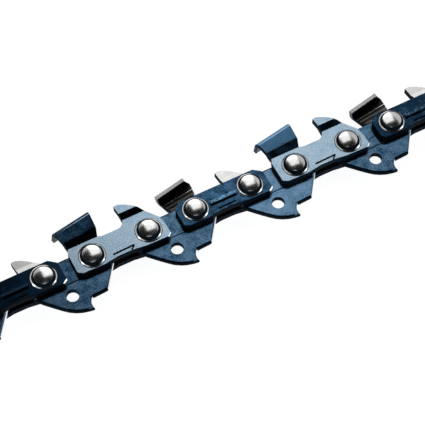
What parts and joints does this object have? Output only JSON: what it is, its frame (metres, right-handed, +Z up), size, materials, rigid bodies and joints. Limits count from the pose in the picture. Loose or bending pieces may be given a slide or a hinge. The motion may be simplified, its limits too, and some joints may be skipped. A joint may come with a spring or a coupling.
{
  "type": "chainsaw chain loop",
  "caption": "Closed loop of low-profile saw chain lying on its side: hooked drive links between riveted side plates, with left and right cutters taking turns.",
  "frame": {"origin": "centre of the loop, on the surface that it lies on", "axes": "+Z up, along the rivets; +X along the two straight runs; the run at +Y travels towards +X, with its cutters pointing to +Y"},
  "size_m": [0.197, 0.0852, 0.0052],
  "materials": {
    "blued_steel": "stamped steel, heat-blued",
    "bright_steel": "bright, smooth domed rivet heads"
  },
  "bodies": {
    "drive_01": {"drive_link_01": "blued_steel"},
    "side_01": {"left_cutter_01": "blued_steel", "tie_strap_01": "blued_steel", "rivets_01": "bright_steel"},
    "drive_02": {"drive_link_02": "blued_steel"},
    "side_02": {"right_cutter_02": "blued_steel", "tie_strap_02": "blued_steel", "rivets_02": "bright_steel"},
    "drive_03": {"drive_link_03": "blued_steel"},
    "side_03": {"left_cutter_03": "blued_steel", "tie_strap_03": "blued_steel", "rivets_03": "bright_steel"},
    "drive_04": {"drive_link_04": "blued_steel"},
    "side_04": {"right_cutter_04": "blued_steel", "tie_strap_04": "blued_steel", "rivets_04": "bright_steel"},
    "drive_05": {"drive_link_05": "blued_steel"},
    "side_05": {"left_cutter_05": "blued_steel", "tie_strap_05": "blued_steel", "rivets_05": "bright_steel"},
    "drive_06": {"drive_link_06": "blued_steel"},
    "side_06": {"right_cutter_06": "blued_steel", "tie_strap_06": "blued_steel", "rivets_06": "bright_steel"},
    "drive_07": {"drive_link_07": "blued_steel"},
    "side_07": {"left_cutter_link_07": "blued_steel"},
    "drive_08": {"drive_link_08": "blued_steel"},
    "side_08": {"right_cutter_link_08": "blued_steel"},
    "drive_09": {"drive_link_09": "blued_steel"},
    "side_09": {"left_cutter_link_09": "blued_steel"},
    "drive_10": {"drive_link_10": "blued_steel"},
    "side_10": {"right_cutter_link_10": "blued_steel"},
    "drive_11": {"drive_link_11": "blued_steel"},
    "side_11": {"left_cutter_link_11": "blued_steel"},
    "drive_12": {"drive_link_12": "blued_steel"},
    "side_12": {"right_cutter_link_12": "blued_steel"},
    "drive_13": {"drive_link_13": "blued_steel"},
    "side_13": {"left_cutter_link_13": "blued_steel"},
    "drive_14": {"drive_link_14": "blued_steel"},
    "side_14": {"right_cutter_link_14": "blued_steel"},
    "drive_15": {"drive_link_15": "blued_steel"},
    "side_15": {"left_cutter_link_15": "blued_steel"},
    "drive_16": {"drive_link_16": "blued_steel"},
    "side_16": {"right_cutter_link_16": "blued_steel"},
    "drive_17": {"drive_link_17": "blued_steel"},
    "side_17": {"left_cutter_link_17": "blued_steel"},
    "drive_18": {"drive_link_18": "blued_steel"},
    "side_18": {"right_cutter_link_18": "blued_steel"},
    "drive_19": {"drive_link_19": "blued_steel"},
    "side_19": {"left_cutter_link_19": "blued_steel"},
    "drive_20": {"drive_link_20": "blued_steel"},
    "side_20": {"right_cutter_link_20": "blued_steel"},
    "drive_21": {"drive_link_21": "blued_steel"},
    "side_21": {"left_cutter_link_21": "blued_steel"},
    "drive_22": {"drive_link_22": "blued_steel"},
    "side_22": {"right_cutter_link_22": "blued_steel"},
    "drive_23": {"drive_link_23": "blued_steel"},
    "side_23": {"left_cutter_link_23": "blued_steel"},
    "drive_24": {"drive_link_24": "blued_steel"},
    "side_24": {"right_cutter_link_24": "blued_steel"}
  },
  "joints": [
    {"name": "run_pivot_07", "type": "hinge", "parent": "side_03", "child": "drive_04", "pos_m": [0.00505, 0.03534, 0.0026], "axis": [0, 0, -1], "range_deg": [-5, 20]},
    {"name": "run_pivot_08", "type": "hinge", "parent": "drive_04", "child": "side_04", "pos_m": [0.01359, 0.03534, 0.0026], "axis": [0, 0, -1], "range_deg": [-5, 20]},
    {"name": "run_pivot_09", "type": "hinge", "parent": "side_04", "child": "drive_05", "pos_m": [0.02369, 0.03534, 0.0026], "axis": [0, 0, -1], "range_deg": [-5, 20]},
    {"name": "run_pivot_10", "type": "hinge", "parent": "drive_05", "child": "side_05", "pos_m": [0.03223, 0.03534, 0.0026], "axis": [0, 0, -1], "range_deg": [-5, 20]},
    {"name": "run_pivot_11", "type": "hinge", "parent": "side_05", "child": "drive_06", "pos_m": [0.04233, 0.03534, 0.0026], "axis": [0, 0, -1], "range_deg": [-5, 20]},
    {"name": "run_pivot_12", "type": "hinge", "parent": "drive_06", "child": "side_06", "pos_m": [0.05087, 0.03534, 0.0026], "axis": [0, 0, -1], "range_deg": [-5, 20]},
    {"name": "turn_pivot_13", "type": "hinge", "parent": "side_06", "child": "drive_07", "pos_m": [0.06097, 0.03534, 0.0026], "axis": [0, 0, -1], "range_deg": [-20, 5]},
    {"name": "turn_pivot_14", "type": "hinge", "parent": "drive_07", "child": "side_07", "pos_m": [0.06922, 0.03313, 0.0026], "axis": [0, 0, -1], "range_deg": [-20, 5]},
    {"name": "turn_pivot_15", "type": "hinge", "parent": "side_07", "child": "drive_08", "pos_m": [0.07797, 0.02808, 0.0026], "axis": [0, 0, -1], "range_deg": [-20, 5]},
    {"name": "turn_pivot_16", "type": "hinge", "parent": "drive_08", "child": "side_08", "pos_m": [0.084, 0.02205, 0.0026], "axis": [0, 0, -1], "range_deg": [-20, 5]},
    {"name": "turn_pivot_17", "type": "hinge", "parent": "side_08", "child": "drive_09", "pos_m": [0.08905, 0.0133, 0.0026], "axis": [0, 0, -1], "range_deg": [-20, 5]},
    {"name": "turn_pivot_18", "type": "hinge", "parent": "drive_09", "child": "side_09", "pos_m": [0.09126, 0.00505, 0.0026], "axis": [0, 0, -1], "range_deg": [-20, 5]},
    {"name": "turn_pivot_19", "type": "hinge", "parent": "side_09", "child": "drive_10", "pos_m": [0.09126, -0.00505, 0.0026], "axis": [0, 0, -1], "range_deg": [-20, 5]},
    {"name": "turn_pivot_20", "type": "hinge", "parent": "drive_10", "child": "side_10", "pos_m": [0.08905, -0.0133, 0.0026], "axis": [0, 0, -1], "range_deg": [-20, 5]},
    {"name": "turn_pivot_21", "type": "hinge", "parent": "side_10", "child": "drive_11", "pos_m": [0.084, -0.02205, 0.0026], "axis": [0, 0, -1], "range_deg": [-20, 5]},
    {"name": "turn_pivot_22", "type": "hinge", "parent": "drive_11", "child": "side_11", "pos_m": [0.07797, -0.02808, 0.0026], "axis": [0, 0, -1], "range_deg": [-20, 5]},
    {"name": "turn_pivot_23", "type": "hinge", "parent": "side_11", "child": "drive_12", "pos_m": [0.06922, -0.03313, 0.0026], "axis": [0, 0, -1], "range_deg": [-20, 5]},
    {"name": "turn_pivot_24", "type": "hinge", "parent": "drive_12", "child": "side_12", "pos_m": [0.06097, -0.03534, 0.0026], "axis": [0, 0, -1], "range_deg": [-20, 5]},
    {"name": "run_pivot_25", "type": "hinge", "parent": "side_12", "child": "drive_13", "pos_m": [0.05087, -0.03534, 0.0026], "axis": [0, 0, -1], "range_deg": [-5, 20]},
    {"name": "run_pivot_26", "type": "hinge", "parent": "drive_13", "child": "side_13", "pos_m": [0.04233, -0.03534, 0.0026], "axis": [0, 0, -1], "range_deg": [-5, 20]},
    {"name": "run_pivot_27", "type": "hinge", "parent": "side_13", "child": "drive_14", "pos_m": [0.03223, -0.03534, 0.0026], "axis": [0, 0, -1], "range_deg": [-5, 20]},
    {"name": "run_pivot_28", "type": "hinge", "parent": "drive_14", "child": "side_14", "pos_m": [0.02369, -0.03534, 0.0026], "axis": [0, 0, -1], "range_deg": [-5, 20]},
    {"name": "run_pivot_29", "type": "hinge", "parent": "side_14", "child": "drive_15", "pos_m": [0.01359, -0.03534, 0.0026], "axis": [0, 0, -1], "range_deg": [-5, 20]},
    {"name": "run_pivot_06", "type": "hinge", "parent": "side_03", "child": "drive_03", "pos_m": [-0.00505, 0.03534, 0.0026], "axis": [0, 0, 1], "range_deg": [-5, 20]},
    {"name": "run_pivot_05", "type": "hinge", "parent": "drive_03", "child": "side_02", "pos_m": [-0.01359, 0.03534, 0.0026], "axis": [0, 0, 1], "range_deg": [-5, 20]},
    {"name": "run_pivot_04", "type": "hinge", "parent": "side_02", "child": "drive_02", "pos_m": [-0.02369, 0.03534, 0.0026], "axis": [0, 0, 1], "range_deg": [-5, 20]},
    {"name": "run_pivot_03", "type": "hinge", "parent": "drive_02", "child": "side_01", "pos_m": [-0.03223, 0.03534, 0.0026], "axis": [0, 0, 1], "range_deg": [-5, 20]},
    {"name": "run_pivot_02", "type": "hinge", "parent": "side_01", "child": "drive_01", "pos_m": [-0.04233, 0.03534, 0.0026], "axis": [0, 0, 1], "range_deg": [-5, 20]},
    {"name": "run_pivot_01", "type": "hinge", "parent": "drive_01", "child": "side_24", "pos_m": [-0.05087, 0.03534, 0.0026], "axis": [0, 0, 1], "range_deg": [-5, 20]},
    {"name": "turn_pivot_48", "type": "hinge", "parent": "side_24", "child": "drive_24", "pos_m": [-0.06097, 0.03534, 0.0026], "axis": [0, 0, 1], "range_deg": [-20, 5]},
    {"name": "turn_pivot_47", "type": "hinge", "parent": "drive_24", "child": "side_23", "pos_m": [-0.06922, 0.03313, 0.0026], "axis": [0, 0, 1], "range_deg": [-20, 5]},
    {"name": "turn_pivot_46", "type": "hinge", "parent": "side_23", "child": "drive_23", "pos_m": [-0.07797, 0.02808, 0.0026], "axis": [0, 0, 1], "range_deg": [-20, 5]},
    {"name": "turn_pivot_45", "type": "hinge", "parent": "drive_23", "child": "side_22", "pos_m": [-0.084, 0.02205, 0.0026], "axis": [0, 0, 1], "range_deg": [-20, 5]},
    {"name": "turn_pivot_44", "type": "hinge", "parent": "side_22", "child": "drive_22", "pos_m": [-0.08905, 0.0133, 0.0026], "axis": [0, 0, 1], "range_deg": [-20, 5]},
    {"name": "turn_pivot_43", "type": "hinge", "parent": "drive_22", "child": "side_21", "pos_m": [-0.09126, 0.00505, 0.0026], "axis": [0, 0, 1], "range_deg": [-20, 5]},
    {"name": "turn_pivot_42", "type": "hinge", "parent": "side_21", "child": "drive_21", "pos_m": [-0.09126, -0.00505, 0.0026], "axis": [0, 0, 1], "range_deg": [-20, 5]},
    {"name": "turn_pivot_41", "type": "hinge", "parent": "drive_21", "child": "side_20", "pos_m": [-0.08905, -0.0133, 0.0026], "axis": [0, 0, 1], "range_deg": [-20, 5]},
    {"name": "turn_pivot_40", "type": "hinge", "parent": "side_20", "child": "drive_20", "pos_m": [-0.084, -0.02205, 0.0026], "axis": [0, 0, 1], "range_deg": [-20, 5]},
    {"name": "turn_pivot_39", "type": "hinge", "parent": "drive_20", "child": "side_19", "pos_m": [-0.07797, -0.02808, 0.0026], "axis": [0, 0, 1], "range_deg": [-20, 5]},
    {"name": "turn_pivot_38", "type": "hinge", "parent": "side_19", "child": "drive_19", "pos_m": [-0.06922, -0.03313, 0.0026], "axis": [0, 0, 1], "range_deg": [-20, 5]},
    {"name": "turn_pivot_37", "type": "hinge", "parent": "drive_19", "child": "side_18", "pos_m": [-0.06097, -0.03534, 0.0026], "axis": [0, 0, 1], "range_deg": [-20, 5]},
    {"name": "run_pivot_36", "type": "hinge", "parent": "side_18", "child": "drive_18", "pos_m": [-0.05087, -0.03534, 0.0026], "axis": [0, 0, 1], "range_deg": [-5, 20]},
    {"name": "run_pivot_35", "type": "hinge", "parent": "drive_18", "child": "side_17", "pos_m": [-0.04233, -0.03534, 0.0026], "axis": [0, 0, 1], "range_deg": [-5, 20]},
    {"name": "run_pivot_34", "type": "hinge", "parent": "side_17", "child": "drive_17", "pos_m": [-0.03223, -0.03534, 0.0026], "axis": [0, 0, 1], "range_deg": [-5, 20]},
    {"name": "run_pivot_33", "type": "hinge", "parent": "drive_17", "child": "side_16", "pos_m": [-0.02369, -0.03534, 0.0026], "axis": [0, 0, 1], "range_deg": [-5, 20]},
    {"name": "run_pivot_32", "type": "hinge", "parent": "side_16", "child": "drive_16", "pos_m": [-0.01359, -0.03534, 0.0026], "axis": [0, 0, 1], "range_deg": [-5, 20]},
    {"name": "run_pivot_31", "type": "hinge", "parent": "drive_16", "child": "side_15", "pos_m": [-0.00505, -0.03534, 0.0026], "axis": [0, 0, 1], "range_deg": [-5, 20]}
  ],
  "couplings": [
    {"joint": "run_pivot_09", "follows": "run_pivot_05", "ratio": 1},
    {"joint": "run_pivot_10", "follows": "run_pivot_06", "ratio": 1},
    {"joint": "run_pivot_11", "follows": "run_pivot_07", "ratio": 1},
    {"joint": "run_pivot_12", "follows": "run_pivot_08", "ratio": 1},
    {"joint": "turn_pivot_13", "follows": "run_pivot_05", "ratio": -1},
    {"joint": "turn_pivot_14", "follows": "run_pivot_06", "ratio": -1},
    {"joint": "turn_pivot_15", "follows": "run_pivot_07", "ratio": -1},
    {"joint": "turn_pivot_16", "follows": "run_pivot_08", "ratio": -1},
    {"joint": "turn_pivot_17", "follows": "run_pivot_05", "ratio": -1},
    {"joint": "turn_pivot_18", "follows": "run_pivot_06", "ratio": -1},
    {"joint": "turn_pivot_19", "follows": "run_pivot_07", "ratio": -1},
    {"joint": "turn_pivot_20", "follows": "run_pivot_08", "ratio": -1},
    {"joint": "turn_pivot_21", "follows": "run_pivot_05", "ratio": -1},
    {"joint": "turn_pivot_22", "follows": "run_pivot_06", "ratio": -1},
    {"joint": "turn_pivot_23", "follows": "run_pivot_07", "ratio": -1},
    {"joint": "turn_pivot_24", "follows": "run_pivot_08", "ratio": -1},
    {"joint": "run_pivot_25", "follows": "run_pivot_05", "ratio": 1},
    {"joint": "run_pivot_26", "follows": "run_pivot_06", "ratio": 1},
    {"joint": "run_pivot_27", "follows": "run_pivot_07", "ratio": 1},
    {"joint": "run_pivot_28", "follows": "run_pivot_08", "ratio": 1},
    {"joint": "run_pivot_29", "follows": "run_pivot_05", "ratio": 1},
    {"joint": "run_pivot_04", "follows": "run_pivot_08", "ratio": 1},
    {"joint": "run_pivot_03", "follows": "run_pivot_07", "ratio": 1},
    {"joint": "run_pivot_02", "follows": "run_pivot_06", "ratio": 1},
    {"joint": "run_pivot_01", "follows": "run_pivot_05", "ratio": 1},
    {"joint": "turn_pivot_48", "follows": "run_pivot_08", "ratio": -1},
    {"joint": "turn_pivot_47", "follows": "run_pivot_07", "ratio": -1},
    {"joint": "turn_pivot_46", "follows": "run_pivot_06", "ratio": -1},
    {"joint": "turn_pivot_45", "follows": "run_pivot_05", "ratio": -1},
    {"joint": "turn_pivot_44", "follows": "run_pivot_08", "ratio": -1},
    {"joint": "turn_pivot_43", "follows": "run_pivot_07", "ratio": -1},
    {"joint": "turn_pivot_42", "follows": "run_pivot_06", "ratio": -1},
    {"joint": "turn_pivot_41", "follows": "run_pivot_05", "ratio": -1},
    {"joint": "turn_pivot_40", "follows": "run_pivot_08", "ratio": -1},
    {"joint": "turn_pivot_39", "follows": "run_pivot_07", "ratio": -1},
    {"joint": "turn_pivot_38", "follows": "run_pivot_06", "ratio": -1},
    {"joint": "turn_pivot_37", "follows": "run_pivot_05", "ratio": -1},
    {"joint": "run_pivot_36", "follows": "run_pivot_08", "ratio": 1},
    {"joint": "run_pivot_35", "follows": "run_pivot_07", "ratio": 1},
    {"joint": "run_pivot_34", "follows": "run_pivot_06", "ratio": 1},
    {"joint": "run_pivot_33", "follows": "run_pivot_05", "ratio": 1},
    {"joint": "run_pivot_32", "follows": "run_pivot_08", "ratio": 1},
    {"joint": "run_pivot_31", "follows": "run_pivot_07", "ratio": 1}
  ]
}
